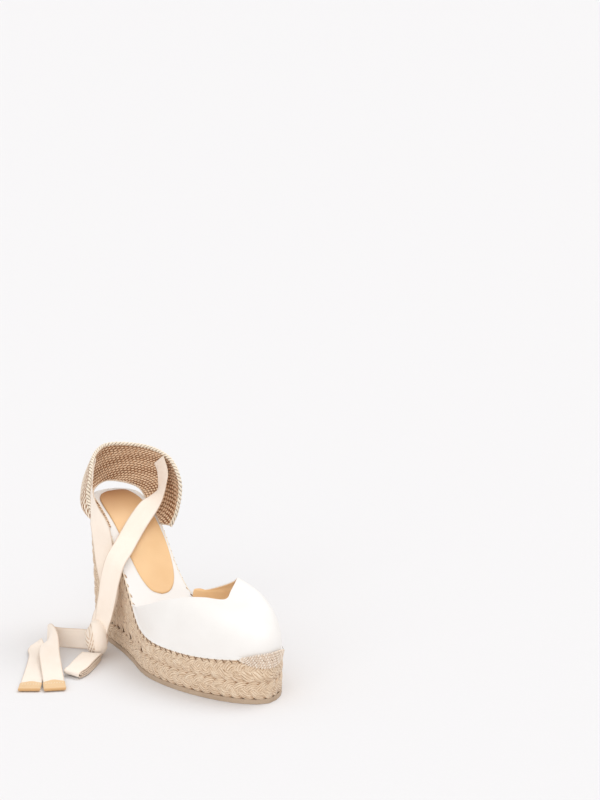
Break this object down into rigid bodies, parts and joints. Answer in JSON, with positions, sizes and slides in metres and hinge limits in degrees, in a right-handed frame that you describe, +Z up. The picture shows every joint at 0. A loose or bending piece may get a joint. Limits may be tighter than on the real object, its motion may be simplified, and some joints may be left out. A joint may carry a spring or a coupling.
{
  "type": "wedge sandal",
  "caption": "Espadrille wedge sandal: braided jute wedge, closed vamp, cut-out heel counter and ankle ribbons knotted at the side.",
  "frame": {"origin": "on the ground under the waist of the outsole, 102 mm in front of the back of the heel", "axes": "+Z up, -Y towards the toe, +X towards the inner (medial) side of this right shoe"},
  "size_m": [0.1844, 0.2487, 0.1575],
  "materials": {
    "outsole": "matte beige crepe rubber",
    "inlay": "smooth lighter rubber",
    "core": "cork, hidden",
    "jute": "plaited natural jute",
    "board": "fibre board, hidden",
    "foam": "soft foam, hidden",
    "white_leather": "smooth white leather",
    "tan_leather": "smooth tan leather",
    "thread": "waxed thread",
    "weave": "basket-woven jute and cotton",
    "ribbon": "cotton twill tape"
  },
  "bodies": {
    "shoe": {"outsole": "outsole", "heel_lift": "outsole", "forefoot_inlay": "inlay", "heel_inlay": "inlay", "wedge_core": "core", "braid_base_row": "jute", "braid_row_1": "jute", "braid_row_2": "jute", "braid_row_3": "jute", "braid_row_4": "jute", "braid_row_5": "jute", "braid_row_6": "jute", "braid_row_7": "jute", "insole_board": "board", "foam_footbed": "foam", "footbed_cover": "white_leather", "sock_liner": "tan_leather", "vamp": "white_leather", "vamp_lining": "tan_leather", "toe_puff": "board", "feather_thread": "thread", "toe_stitching": "thread", "heel_counter": "weave", "counter_rim": "weave", "ribbon_medial": "ribbon", "ribbon_lateral": "ribbon", "ribbon_knot": "ribbon"},
    "ribbon_run": {"ribbon_run": "ribbon"},
    "tail_rear": {"ribbon_tail_rear": "ribbon", "tail_tip_rear": "tan_leather"},
    "tail_front": {"ribbon_tail_front": "ribbon", "tail_tip_front": "tan_leather"},
    "loop": {"ribbon_loop": "ribbon"}
  },
  "joints": [
    {"name": "run_swing", "type": "hinge", "parent": "shoe", "child": "ribbon_run", "pos_m": [-0.0495, 0.0485, 0.009], "axis": [0, 0, -1], "range_deg": [0, 25]},
    {"name": "rear_tail_lift", "type": "hinge", "parent": "ribbon_run", "child": "tail_rear", "pos_m": [-0.0735, 0.083, 0.017], "axis": [-0.8486, 0.5291, 0], "range_deg": [0, 45]},
    {"name": "front_tail_lift", "type": "hinge", "parent": "tail_rear", "child": "tail_front", "pos_m": [-0.0705, 0.08, 0.0174], "axis": [-0.9062, 0.4229, 0], "range_deg": [0, 40]},
    {"name": "loop_lift", "type": "hinge", "parent": "shoe", "child": "loop", "pos_m": [-0.0575, 0.0285, 0.0067], "axis": [-0.5408, 0.8412, 0], "range_deg": [0, 45]}
  ]
}
